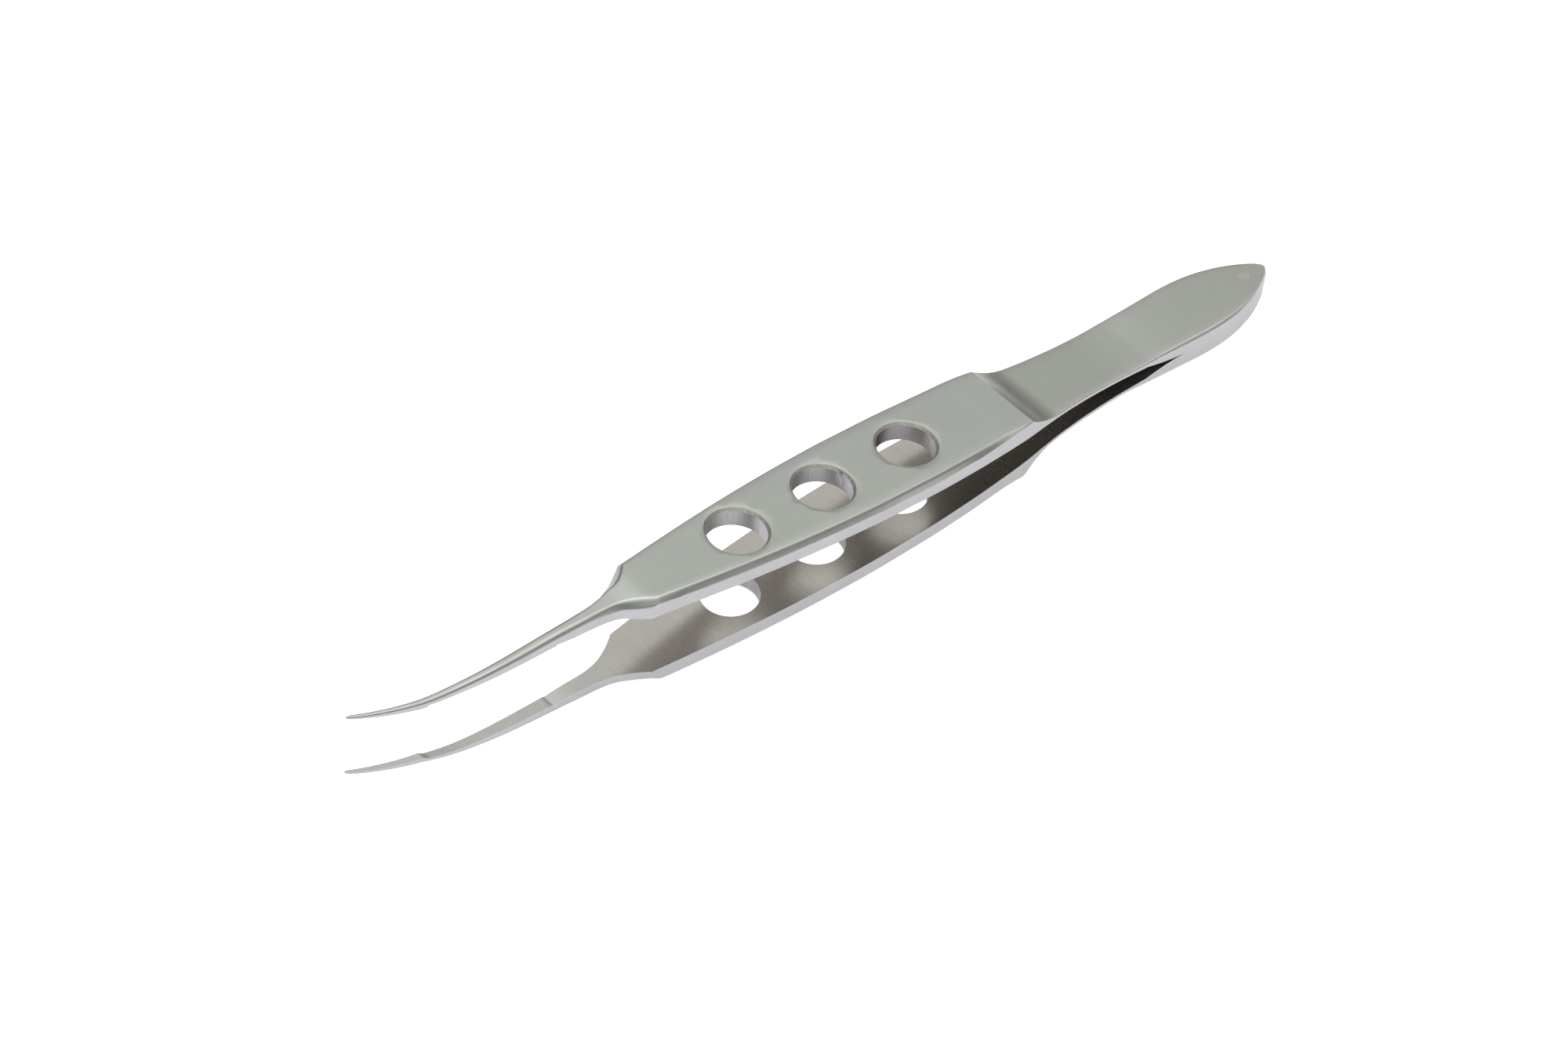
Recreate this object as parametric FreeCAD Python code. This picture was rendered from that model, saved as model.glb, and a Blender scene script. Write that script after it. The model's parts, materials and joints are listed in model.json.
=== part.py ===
import FreeCAD, Part
import math
import os

# Tying forceps, millimetres. +X runs to the tips, +Z is the way the upper arm opens.
# The tips curve to -Y. The arms are drawn at rest, sprung open, and meet at the mid-plane in the tail.

# places along the forceps, from a station near the middle of the finger plate
TAIL_END_X = -52.35
BEAD_END_X = -39.5
SLIT_END_X = -38.7
KINK_X = -33.66
COVE_START_X = -20.95
SHOULDER_X = -17.65
FRONT_CORNER_X = 25.4
RELIEF_X = 34.5
PLATFORM_X = 47.5
TIP_END_X = 53.55
MIDDLE_X = (TAIL_END_X + TIP_END_X) / 2.0

# the flat inner face of one arm: a plane from the kink to the front corner
PLATE_ANGLE_DEG = 2.61
PLATE_REF_X = 4.08
PLATE_REF_Z = 2.46

# finger plate, with a ground bevel along its outer edges that starts small at the shoulder
PLATE_THICK = 1.92
BEVEL_W = 0.40
BEVEL_H = 0.48
BEVEL_AT_SHOULDER = 0.07
BEVEL_RUN_IN = 3.4
UPPER_BEVEL_DEEPEST = 0.78
UPPER_BEVEL_FRONT = 0.68
LOWER_CORNER_RUN = 1.1
LOWER_CORNER_BEVEL_H = 0.97
LOWER_CORNER_BEVEL_W = 1.40

# three through holes in the finger plate
HOLE_PITCH = 10.0
HOLE_R = 2.73
HOLE_RIM_R = 2.92
HOLE_RIM_DEPTH = 0.20

# leaf spring, tail pads, the bead that joins them and the locating pin
LEAF_THICK = 0.43
LEAF_EDGE_ROUND = 0.12
UPPER_TAIL_THICK = 1.37
LOWER_TAIL_THICK = 1.79
TAIL_EDGE_ROUND = 0.26
TAIL_EDGE_SHARE = 0.6
TAIL_EDGE_FADE = 0.6
BEAD_DEPTH = 0.55
BEAD_HALF_MOUTH = 0.28
BEAD_ROOT_HALF_WIDTH = 0.03
BEAD_ROOT_HALF_THICK = 0.004
PIN_R = 0.60
PIN_FROM_END = 2.65
PIN_CLEARANCE = 0.01
PIN_SUNK = 0.006

# the closing hinge in the middle of the leaf spring, and the tying platform
HINGE_X = (KINK_X + COVE_START_X) / 2.0
HINGE_Z = 1.20
CLOSING_DEG = 2.32
PLATFORM_GAP = 0.02
PLATFORM_RAISE = 0.21
RELIEF_DEPTH = 0.09

# an oversize cut runs past a face by this much, and the plate's loft is trimmed by it to true planes
OVERCUT = 1.0
TRIM = 0.02

SLOPE = math.tan(math.radians(PLATE_ANGLE_DEG))
CLOSE_SIN = math.sin(math.radians(CLOSING_DEG))
CLOSE_COS = math.cos(math.radians(CLOSING_DEG))


def along(stations, x):
    """Value at x on a smooth curve through (x, value) stations."""
    last = len(stations) - 1
    if x <= stations[0][0]:
        return stations[0][1]
    if x >= stations[last][0]:
        return stations[last][1]
    i = 0
    while stations[i + 1][0] < x:
        i += 1

    def rise(k):
        return (stations[k + 1][1] - stations[k][1]) / (stations[k + 1][0] - stations[k][0])

    def slope_at(k):
        if k == 0 or k == last:
            return rise(i)
        left = rise(k - 1)
        right = rise(k)
        if left * right <= 0.0:
            return 0.0
        return 2.0 * left * right / (left + right)

    x0, v0 = stations[i]
    x1, v1 = stations[i + 1]
    h = x1 - x0
    t = (x - x0) / h
    return (v0 * (1 + 2 * t) * (1 - t) ** 2 + slope_at(i) * h * t * (1 - t) ** 2
            + v1 * t * t * (3 - 2 * t) + slope_at(i + 1) * h * t * t * (t - 1))


def placed(start, pairs):
    """Stations given by their distance from a named place."""
    return [(start + distance, value) for distance, value in pairs]


def steps(start, end, count):
    return [start + (end - start) * i / count for i in range(count + 1)]


def inner_plane_z(x):
    return PLATE_REF_Z + (x - PLATE_REF_X) * SLOPE


def platform_z(x):
    """Platform face at rest: it lies flat on the mid-plane once the arm has closed."""
    return HINGE_Z + (x - HINGE_X) * CLOSE_SIN + (PLATFORM_GAP - HINGE_Z) * CLOSE_COS


# half-widths: pointed tail, waisted leaf spring, flare up to the shoulder
TAIL_HALF_WIDTH = placed(TAIL_END_X, [(0.0, 0.30), (0.20, 0.62), (0.75, 1.08), (1.35, 1.44), (2.25, 1.90),
                                      (3.65, 2.48), (4.95, 2.88), (6.35, 3.22), (7.85, 3.45), (9.35, 3.57),
                                      (10.85, 3.60), (13.85, 3.52), (16.35, 3.43)]) + [(KINK_X, 3.37)]
LEAF_HALF_WIDTH = [(KINK_X, 3.37), (-30.0, 3.31), (-28.0, 3.33), (-26.0, 3.40), (-24.0, 3.52), (-22.0, 3.70),
                   (COVE_START_X, 3.83), (-19.5, 4.02), (SHOULDER_X, 4.28)]
UPPER_TAIL_OUTER_Z = [(TAIL_END_X, UPPER_TAIL_THICK - 0.16), (-46.0, UPPER_TAIL_THICK - 0.03),
                      (-42.0, UPPER_TAIL_THICK), (-37.0, UPPER_TAIL_THICK - 0.01), (KINK_X, 1.29)]
LOWER_TAIL_OUTER_Z = [(TAIL_END_X, LOWER_TAIL_THICK - 0.34), (-48.5, LOWER_TAIL_THICK - 0.09),
                      (-45.5, LOWER_TAIL_THICK - 0.02), (-42.0, LOWER_TAIL_THICK), (-38.5, LOWER_TAIL_THICK - 0.07),
                      (-36.0, LOWER_TAIL_THICK - 0.19), (KINK_X, 1.44)]
LEAF_RUN = [(-31.0, LEAF_THICK + 0.02), (-28.0, LEAF_THICK - 0.01), (-25.0, LEAF_THICK - 0.01),
            (COVE_START_X, LEAF_THICK)]
UPPER_LEAF_THICKS = [(KINK_X, along(UPPER_TAIL_OUTER_Z, KINK_X) - inner_plane_z(KINK_X))] + LEAF_RUN
LOWER_LEAF_THICKS = [(KINK_X, along(LOWER_TAIL_OUTER_Z, KINK_X) - inner_plane_z(KINK_X))] + LEAF_RUN

# half-width of the finger plate, then of the neck, shank and tip
PLATE_HALF_WIDTH = [(SHOULDER_X, 4.28), (-15.0, 4.52), (-10.0, 4.83), (-5.0, 4.97), (0.0, 4.95), (5.0, 4.78),
                    (10.0, 4.48), (15.0, 4.05), (20.0, 3.50), (FRONT_CORNER_X, 2.82)]
NECK_HALF_WIDTH = placed(FRONT_CORNER_X, [(0.0, 2.82), (0.6, 2.38), (1.2, 2.00), (1.8, 1.67), (2.4, 1.38),
                                          (3.1, 1.12), (3.9, 0.93), (4.8, 0.81), (6.6, 0.71), (8.6, 0.65)])
SHANK_HALF_WIDTH = NECK_HALF_WIDTH + [(38.0, 0.57), (42.0, 0.48), (46.0, 0.39), (48.0, 0.34), (50.0, 0.29),
                                      (52.0, 0.24), (53.2, 0.20), (TIP_END_X, 0.12)]
SHANK_CURVE = [(30.0, 0.06), (32.0, 0.02), (34.0, -0.03), (36.0, -0.06), (38.0, -0.09), (40.0, -0.15), (42.0, -0.27),
               (44.0, -0.47), (46.0, -0.79), (48.0, -1.27), (50.0, -1.92), (52.0, -2.78), (53.2, -3.41),
               (TIP_END_X, -3.60)]
SHANK_INNER_Z = [(FRONT_CORNER_X, inner_plane_z(FRONT_CORNER_X)), (28.0, 3.52), (30.0, 3.54), (32.0, 3.54),
                 (RELIEF_X, 3.54), (38.0, 3.49), (41.0, 3.44), (44.0, 3.38),
                 (PLATFORM_X, platform_z(PLATFORM_X) + PLATFORM_RAISE - RELIEF_DEPTH)]
SHANK_THICK_END = [(46.0, 0.67), (48.0, 0.56), (50.0, 0.44), (52.0, 0.32), (53.2, 0.24), (TIP_END_X, 0.14)]
SHANK_WALL_END = [(46.0, 0.31), (50.0, 0.18), (53.2, 0.09), (TIP_END_X, 0.05)]
SHANK_FLAT_END = placed(FRONT_CORNER_X, [(6.6, 0.20), (8.6, 0.14)]) + [(42.0, 0.09), (50.0, 0.05), (TIP_END_X, 0.03)]

# bevels and necks are ground by hand, so each arm has its own. On the plate: width and height of the bevel.
# On neck and shank: height of the side wall, thickness, half-width of the flat outer face, and centre line.
BEVEL_RUN_IN_END = SHOULDER_X + BEVEL_RUN_IN
LOWER_CORNER_START = FRONT_CORNER_X - LOWER_CORNER_RUN
UPPER_ARM = {
    "bevel_w": [(SHOULDER_X, BEVEL_AT_SHOULDER), (BEVEL_RUN_IN_END, BEVEL_W), (FRONT_CORNER_X, BEVEL_W)],
    "bevel_h": [(SHOULDER_X, BEVEL_AT_SHOULDER), (-15.0, 0.26), (-12.0, BEVEL_H), (-8.0, 0.70),
                (-3.0, UPPER_BEVEL_DEEPEST), (5.0, UPPER_BEVEL_FRONT), (12.0, UPPER_BEVEL_FRONT),
                (20.0, UPPER_BEVEL_FRONT), (FRONT_CORNER_X, BEVEL_H)],
    "wall": [(FRONT_CORNER_X, PLATE_THICK - BEVEL_H), (26.3, 1.25), (27.5, 1.05), (29.0, 0.94), (30.0, 0.88),
             (34.0, 0.66), (38.0, 0.55), (42.0, 0.43)] + SHANK_WALL_END,
    "thick": [(FRONT_CORNER_X, PLATE_THICK), (27.5, 1.72), (30.0, 1.47), (34.0, 1.26), (38.0, 1.09),
              (42.0, 0.89)] + SHANK_THICK_END,
    "flat": placed(FRONT_CORNER_X, [(0.0, 2.42), (0.6, 1.80), (1.2, 1.30), (1.8, 0.97), (2.4, 0.79), (3.1, 0.63),
                                    (3.9, 0.49), (4.8, 0.34)]) + SHANK_FLAT_END,
    "centre_y": placed(FRONT_CORNER_X, [(0.0, 0.0), (0.5, 0.22), (1.1, 0.26), (1.8, 0.18),
                                        (2.8, 0.05)]) + SHANK_CURVE,
}
LOWER_ARM = {
    "bevel_w": [(SHOULDER_X, BEVEL_AT_SHOULDER), (BEVEL_RUN_IN_END, BEVEL_W), (LOWER_CORNER_START, BEVEL_W),
                (FRONT_CORNER_X, LOWER_CORNER_BEVEL_W)],
    "bevel_h": [(SHOULDER_X, BEVEL_AT_SHOULDER), (BEVEL_RUN_IN_END, BEVEL_H), (LOWER_CORNER_START, BEVEL_H),
                (FRONT_CORNER_X, LOWER_CORNER_BEVEL_H)],
    "wall": [(FRONT_CORNER_X, PLATE_THICK - LOWER_CORNER_BEVEL_H), (26.7, 0.93), (28.4, 0.82), (30.2, 0.80),
             (34.0, 0.74), (38.0, 0.63), (42.0, 0.46)] + SHANK_WALL_END,
    "thick": [(FRONT_CORNER_X, PLATE_THICK), (26.7, 1.75), (28.4, 1.52), (30.2, 1.41), (34.0, 1.32), (38.0, 1.16),
              (42.0, 0.93)] + SHANK_THICK_END,
    "flat": placed(FRONT_CORNER_X, [(0.0, 1.42), (0.6, 1.05), (1.2, 0.75), (1.8, 0.55), (2.4, 0.42), (3.1, 0.33),
                                    (3.9, 0.28), (4.8, 0.25)]) + SHANK_FLAT_END,
    "centre_y": [(FRONT_CORNER_X, 0.0)] + SHANK_CURVE,
}

# how full the shoulder between side wall and outer face is: 0.5 is a flat bevel, 0.707 a full quarter round
FULLNESS = [(FRONT_CORNER_X, 0.53), (28.5, 0.55), (32.0, 0.68)]


def vec(x, y, z):
    return FreeCAD.Vector(x - MIDDLE_X, y, z)


def loft(wires):
    """A ruled solid through sections set close enough that its facets don't show."""
    solid = Part.makeLoft(wires, True, True)
    if solid.Volume < 0:
        solid.reverse()
    return solid


def section(x, centre_y, half_width, inner_z, wall, thick, flat_half, groove=False):
    """Wire across the arm: flat inner face, two side walls, bevelled shoulders, flat outer face."""
    w = half_width
    full = along(FULLNESS, x)
    z_wall = inner_z + wall
    z_top = inner_z + thick
    if groove:
        y_in = max(w - BEAD_DEPTH, BEAD_ROOT_HALF_WIDTH)
        z_in = inner_z + BEAD_HALF_MOUTH * (1.0 - (w - y_in) / BEAD_DEPTH)
        low = [(-w, inner_z + BEAD_HALF_MOUTH), (-y_in, z_in), (y_in, z_in), (w, inner_z + BEAD_HALF_MOUTH)]
    else:
        low = [(-w, inner_z), (w, inner_z)]
    low = [vec(x, centre_y + y, z) for y, z in low]
    right_wall = vec(x, centre_y + w, z_wall)
    right_mid = vec(x, centre_y + flat_half + (w - flat_half) * full, z_wall + (z_top - z_wall) * full)
    right_top = vec(x, centre_y + flat_half, z_top)
    left_top = vec(x, centre_y - flat_half, z_top)
    left_mid = vec(x, centre_y - flat_half - (w - flat_half) * full, z_wall + (z_top - z_wall) * full)
    left_wall = vec(x, centre_y - w, z_wall)
    edges = [Part.makeLine(a, b) for a, b in zip(low[:-1], low[1:])]
    edges.append(Part.makeLine(low[-1], right_wall))
    edges.append(Part.Arc(right_wall, right_mid, right_top).toShape())
    edges.append(Part.makeLine(right_top, left_top))
    edges.append(Part.Arc(left_top, left_mid, left_wall).toShape())
    edges.append(Part.makeLine(left_wall, low[0]))
    return Part.Wire(edges)


def polygon(x, points):
    corners = [vec(x, y, z) for y, z in points]
    return Part.makePolygon(corners + corners[:1])


def mirrored(shape):
    return shape.mirror(FreeCAD.Vector(0, 0, 0), FreeCAD.Vector(0, 0, 1))


# tail pad: flat joining face, V-shaped groove for the joint bead, ramp up to the kink
TAIL_EDGE_FADE_X = SLIT_END_X + TAIL_EDGE_FADE
RAMP_RISE = inner_plane_z(KINK_X) / (KINK_X - SLIT_END_X)
TAIL_STEPS = (0.0, 0.1, 0.2, 0.45, 0.75, 1.05, 1.35, 1.8, 2.25, 2.85, 3.5, 4.2, 4.95, 5.65, 6.35, 7.1, 7.85, 8.6,
              9.4, 10.4, 11.4)
tail_xs = [TAIL_END_X + distance for distance in TAIL_STEPS] + [BEAD_END_X]


def tail_section(outer_z, x, inner_z, groove=False):
    w = along(TAIL_HALF_WIDTH, x)
    edge = min(TAIL_EDGE_ROUND, TAIL_EDGE_SHARE * w)
    if x > TAIL_EDGE_FADE_X:
        share = (x - TAIL_EDGE_FADE_X) / (KINK_X - TAIL_EDGE_FADE_X)
        edge = TAIL_EDGE_ROUND + (LEAF_EDGE_ROUND - TAIL_EDGE_ROUND) * share
    thick = along(outer_z, x) - inner_z
    return section(x, 0.0, w, inner_z, thick - edge, thick, w - edge, groove)


def make_tail_pad(outer_z):
    rear = loft([tail_section(outer_z, x, 0.0, True) for x in tail_xs])
    middle = loft([tail_section(outer_z, x, 0.0) for x in steps(BEAD_END_X, SLIT_END_X, 2)])
    ramp = loft([tail_section(outer_z, x, RAMP_RISE * (x - SLIT_END_X)) for x in steps(SLIT_END_X, KINK_X, 6)])
    pin_x = TAIL_END_X + PIN_FROM_END
    depth = LOWER_TAIL_THICK + 2 * OVERCUT
    pin_hole = Part.makeCylinder(PIN_R + PIN_CLEARANCE, depth, vec(pin_x, 0.0, -OVERCUT))
    return rear.fuse([middle, ramp]).removeSplitter().cut(pin_hole)


# joint bead between the pads: a wedge along each side, joined round the tail's point
side_xs = [x for x in tail_xs if along(TAIL_HALF_WIDTH, x) > BEAD_DEPTH + BEAD_ROOT_HALF_WIDTH]
point_xs = [x for x in tail_xs if x <= side_xs[0]]


def bead_wedge(side):
    wires = []
    for x in side_xs:
        w = along(TAIL_HALF_WIDTH, x)
        wires.append(polygon(x, [(side * w, -BEAD_HALF_MOUTH), (side * w, BEAD_HALF_MOUTH),
                                 (side * (w - BEAD_DEPTH), 0.0)]))
    return loft(wires)


def bead_point():
    wires = []
    for x in point_xs:
        w = along(TAIL_HALF_WIDTH, x)
        y_in = max(w - BEAD_DEPTH, BEAD_ROOT_HALF_WIDTH)
        z_in = max(BEAD_HALF_MOUTH * (1.0 - (w - y_in) / BEAD_DEPTH), BEAD_ROOT_HALF_THICK)
        upper = [(w, BEAD_HALF_MOUTH), (y_in, z_in), (-y_in, z_in), (-w, BEAD_HALF_MOUTH)]
        lower = [(y, -z) for y, z in reversed(upper)]
        wires.append(polygon(x, upper + lower))
    return loft(wires)


def make_bead():
    return bead_wedge(1.0).fuse([bead_wedge(-1.0), bead_point()]).removeSplitter()


def make_pin():
    """Locating pin through both pads, ground flush with their outer faces."""
    pin_x = TAIL_END_X + PIN_FROM_END
    top = along(UPPER_TAIL_OUTER_Z, pin_x) - PIN_SUNK
    bottom = along(LOWER_TAIL_OUTER_Z, pin_x) - PIN_SUNK
    return Part.makeCylinder(PIN_R, top + bottom, vec(pin_x, 0.0, -bottom))


def make_leaf(thicks):
    wires = []
    for x in steps(KINK_X, COVE_START_X, 10):
        w = along(LEAF_HALF_WIDTH, x)
        thick = along(thicks, x)
        wires.append(section(x, 0.0, w, inner_plane_z(x), thick - LEAF_EDGE_ROUND, thick, w - LEAF_EDGE_ROUND))
    return loft(wires)


def make_cove():
    """Round scoop from the leaf spring up to the plate's shoulder."""
    run = SHOULDER_X - COVE_START_X
    rise = PLATE_THICK - LEAF_THICK
    radius = (run ** 2 + rise ** 2) / (2.0 * rise)
    wires = []
    for x in steps(COVE_START_X, SHOULDER_X, 9):
        w = along(LEAF_HALF_WIDTH, x)
        dx = x - COVE_START_X
        thick = LEAF_THICK + radius - math.sqrt(radius ** 2 - dx ** 2)
        edge = LEAF_EDGE_ROUND + (BEVEL_AT_SHOULDER - LEAF_EDGE_ROUND) * dx / run
        wires.append(section(x, 0.0, w, inner_plane_z(x), thick - edge, thick, w - edge))
    return loft(wires)


def make_plate(arm):
    """Finger plate: lofted a little proud, then trimmed to two true parallel faces."""
    wires = []
    for x in steps(SHOULDER_X, BEVEL_RUN_IN_END, 3)[:-1] + steps(BEVEL_RUN_IN_END, LOWER_CORNER_START, 18) + [
            FRONT_CORNER_X - LOWER_CORNER_RUN / 2, FRONT_CORNER_X]:
        w = along(PLATE_HALF_WIDTH, x)
        wall = PLATE_THICK - along(arm["bevel_h"], x) + TRIM
        flat = w - along(arm["bevel_w"], x)
        wires.append(section(x, 0.0, w, inner_plane_z(x) - TRIM, wall, PLATE_THICK + 2 * TRIM, flat))
    side = max(value for place, value in PLATE_HALF_WIDTH) + OVERCUT
    corners = []
    for x, lift in ((SHOULDER_X, 0.0), (FRONT_CORNER_X, 0.0), (FRONT_CORNER_X, PLATE_THICK),
                    (SHOULDER_X, PLATE_THICK)):
        corners.append(vec(x, -side, inner_plane_z(x) + lift))
    slab = Part.Face(Part.makePolygon(corners + corners[:1])).extrude(FreeCAD.Vector(0, 2 * side, 0))
    return loft(wires).common(slab)


def shank_section(x, arm, inner, gain):
    """Section of neck, shank or tip; a gain reaches further in and leaves the outer side where it is."""
    return section(x, along(arm["centre_y"], x), along(SHANK_HALF_WIDTH, x), inner,
                   along(arm["wall"], x) + gain, along(arm["thick"], x) + gain, along(arm["flat"], x))


NECK_STEPS = (0.0, 0.4, 0.8, 1.2, 1.6, 2.0, 2.4, 2.9, 3.5, 4.2, 5.0, 6.2, 7.6)


def make_neck(arm):
    xs = [FRONT_CORNER_X + distance for distance in NECK_STEPS] + [RELIEF_X]
    return loft([shank_section(x, arm, along(SHANK_INNER_Z, x), 0.0) for x in xs])


def make_shank(arm):
    """Between the two steps the inner face lies deeper than on either side."""
    wires = []
    for x in steps(RELIEF_X, PLATFORM_X, 10):
        wires.append(shank_section(x, arm, along(SHANK_INNER_Z, x) + RELIEF_DEPTH, -RELIEF_DEPTH))
    return loft(wires)


def make_platform(arm):
    """The raised tying platform, flat to the very tip."""
    wires = []
    for x in steps(PLATFORM_X, TIP_END_X - 0.6, 7) + [TIP_END_X - 0.25, TIP_END_X - 0.08, TIP_END_X]:
        reach = (TIP_END_X - x) / (TIP_END_X - PLATFORM_X)
        wires.append(shank_section(x, arm, platform_z(x), (PLATFORM_RAISE - RELIEF_DEPTH) * reach))
    return loft(wires)


def drill_holes(body):
    """Three holes square to the plate, each with a broken rim on the outer face."""
    angle = math.radians(PLATE_ANGLE_DEG)
    normal = FreeCAD.Vector(-math.sin(angle), 0.0, math.cos(angle))
    rim_flare = (HOLE_RIM_R - HOLE_R) / HOLE_RIM_DEPTH
    for k in (-1, 0, 1):
        x = PLATE_REF_X + k * HOLE_PITCH
        centre = vec(x, 0.0, inner_plane_z(x) + PLATE_THICK)
        foot = centre - normal * (PLATE_THICK + OVERCUT)
        bore = Part.makeCylinder(HOLE_R, PLATE_THICK + 2 * OVERCUT, foot, normal)
        rim = Part.makeCone(HOLE_R, HOLE_RIM_R + rim_flare * OVERCUT, HOLE_RIM_DEPTH + OVERCUT,
                            centre - normal * HOLE_RIM_DEPTH, normal)
        body = body.cut(bore.fuse(rim))
    return body


def make_arm(arm):
    body = make_cove().fuse([make_plate(arm), make_neck(arm), make_shank(arm), make_platform(arm)])
    return drill_holes(body)


nodes = {
    "upper_arm": make_arm(UPPER_ARM),
    "upper_leaf_spring": make_leaf(UPPER_LEAF_THICKS),
    "upper_tail_pad": make_tail_pad(UPPER_TAIL_OUTER_Z),
    "lower_arm": mirrored(make_arm(LOWER_ARM)),
    "lower_leaf_spring": mirrored(make_leaf(LOWER_LEAF_THICKS)),
    "lower_tail_pad": mirrored(make_tail_pad(LOWER_TAIL_OUTER_Z)),
    "tail_joint_bead": make_bead(),
    "tail_pin": make_pin(),
}

os.makedirs("parts", exist_ok=True)
for name, shape in nodes.items():
    box = shape.BoundBox
    print(name, shape.ShapeType, "solids", len(shape.Solids), "valid", shape.isValid(),
          "volume %.3f" % shape.Volume,
          "x %.2f %.2f y %.2f %.2f z %.2f %.2f" % (box.XMin, box.XMax, box.YMin, box.YMax, box.ZMin, box.ZMax))
    shape.exportStep("parts/%s.step" % name)
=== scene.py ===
import json
import math

import bmesh
import bpy
from mathutils import Matrix, Vector


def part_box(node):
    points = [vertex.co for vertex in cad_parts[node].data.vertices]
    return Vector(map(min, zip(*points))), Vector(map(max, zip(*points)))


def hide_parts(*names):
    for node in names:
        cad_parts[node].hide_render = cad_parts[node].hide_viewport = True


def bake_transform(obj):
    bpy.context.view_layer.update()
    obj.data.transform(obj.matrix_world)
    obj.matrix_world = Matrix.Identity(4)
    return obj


# Tying forceps: the looks. Stations are in millimetres along the frame's x axis, meshes are made in metres.

MM = 0.001

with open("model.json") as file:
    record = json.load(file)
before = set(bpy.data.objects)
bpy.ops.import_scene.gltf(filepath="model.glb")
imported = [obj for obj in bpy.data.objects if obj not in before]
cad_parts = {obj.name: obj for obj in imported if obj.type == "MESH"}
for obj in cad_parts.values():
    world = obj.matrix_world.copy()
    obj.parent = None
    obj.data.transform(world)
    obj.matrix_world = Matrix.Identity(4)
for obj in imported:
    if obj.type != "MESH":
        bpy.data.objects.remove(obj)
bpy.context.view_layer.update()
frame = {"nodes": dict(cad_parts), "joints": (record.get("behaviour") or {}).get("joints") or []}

# places along the forceps, from the frame where it has them
TAIL_END_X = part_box("upper_tail_pad")[0][0] / MM
KINK_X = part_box("upper_leaf_spring")[0][0] / MM
COVE_START_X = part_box("upper_arm")[0][0] / MM
TIP_END_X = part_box("upper_arm")[1][0] / MM

# the other places are measured from a point this far towards the tail from the frame's origin
SHIFT = 0.6
SHOULDER_X = -17.65 - SHIFT
SLIT_END_X = -38.7 - SHIFT
FRONT_CORNER_X = 25.4 - SHIFT
RELIEF_X = 34.5 - SHIFT
PLATFORM_X = 47.5 - SHIFT
NECK_END_X = 30.0

# flat inner face of one arm, finger plate and holes
SLOPE = math.tan(math.radians(2.61))
PLATE_REF_X = 4.08 - SHIFT
PLATE_REF_Z = 2.46
PLATE_THICK = 1.92
BEVEL_W = 0.54
BEVEL_AT_SHOULDER = 0.07
BEVEL_RUN_IN = 3.4
BEVEL_RUN_IN_END = SHOULDER_X + BEVEL_RUN_IN
LOWER_CORNER_START = FRONT_CORNER_X - 1.1
HOLE_PITCH = 10.0
HOLE_R = 2.73
HOLE_RIM_R = 3.01
HOLE_RIM_DEPTH = 0.26
HOLE_LIP_R = 3.16
HOLE_LIP_DEPTH = 0.035
HOLE_COUNT = 3
HOLE_SIDES = 72
CUT_LENGTH = 9.0
LEAF_THICK = 0.43
LEAF_EDGE = 0.12
TAIL_EDGE = 0.26
TAIL_EDGE_SHARE = 0.6
TAIL_EDGE_FADE_X = -38.1 - SHIFT
SLIT_TAPER = 1.7
STEP = 0.02

# cove: a round scoop that ends in a short straight climb at the shoulder
COVE_RADIUS = 6.0
COVE_TILT = math.radians(38)

# locating pin, flush in the tail
PIN_X = (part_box("tail_pin")[0][0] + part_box("tail_pin")[1][0]) / 2.0 / MM
PIN_BORE_R = 0.61

# closing hinge and tying platform
HINGE = frame["joints"][0]["pos_m"]
CLOSING = math.radians(frame["joints"][0]["range_deg"][1])
PLATFORM_GAP = 0.02
PLATFORM_RAISE = 0.21
RELIEF_DEPTH = 0.09


def inner_plane_z(x):
    return PLATE_REF_Z + (x - PLATE_REF_X) * SLOPE


def platform_z(x):
    hinge_x, hinge_z = HINGE[0] / MM, abs(HINGE[2]) / MM
    return hinge_z + (x - hinge_x) * math.sin(CLOSING) + (PLATFORM_GAP - hinge_z) * math.cos(CLOSING)


def shifted(pairs):
    return [(x - SHIFT, value) for x, value in pairs]


HALF_WIDTH = shifted([
    (-52.35, 0.30), (-52.15, 0.62), (-51.6, 1.08), (-51.0, 1.44), (-50.1, 1.90), (-48.7, 2.48),
    (-47.4, 2.88), (-46.0, 3.22), (-44.5, 3.45), (-43.0, 3.57), (-41.5, 3.60), (-38.5, 3.52),
    (-36.0, 3.43), (-33.66, 3.37), (-30.0, 3.31), (-28.0, 3.33), (-26.0, 3.40), (-24.0, 3.52),
    (-22.0, 3.70), (-20.95, 3.83), (-19.5, 4.02), (-17.65, 4.28), (-15.0, 4.52), (-10.0, 4.83),
    (-5.0, 4.97), (0.0, 4.95), (5.0, 4.78), (10.0, 4.48), (15.0, 4.05), (20.0, 3.50), (25.4, 2.82)
])
SHANK_HALF_WIDTH = shifted([
    (25.4, 2.82), (26.0, 2.38), (26.6, 2.00), (27.2, 1.67), (27.8, 1.38), (28.5, 1.12),
    (29.3, 0.93), (30.2, 0.81), (32.0, 0.71), (34.0, 0.65), (38.0, 0.57), (42.0, 0.48),
    (46.0, 0.39), (48.0, 0.34), (50.0, 0.29), (52.0, 0.24), (53.2, 0.20), (53.55, 0.12)
])
SHANK_CURVE = [
    (30.0, 0.06), (32.0, 0.02), (34.0, -0.03), (36.0, -0.06), (38.0, -0.09), (40.0, -0.15),
    (42.0, -0.27), (44.0, -0.47), (46.0, -0.79), (48.0, -1.27), (50.0, -1.92), (52.0, -2.78),
    (53.2, -3.41), (53.55, -3.60)
]
THICK_END = [(46.0, 0.67), (48.0, 0.56), (50.0, 0.44), (52.0, 0.32), (53.2, 0.24), (53.55, 0.14)]
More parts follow.
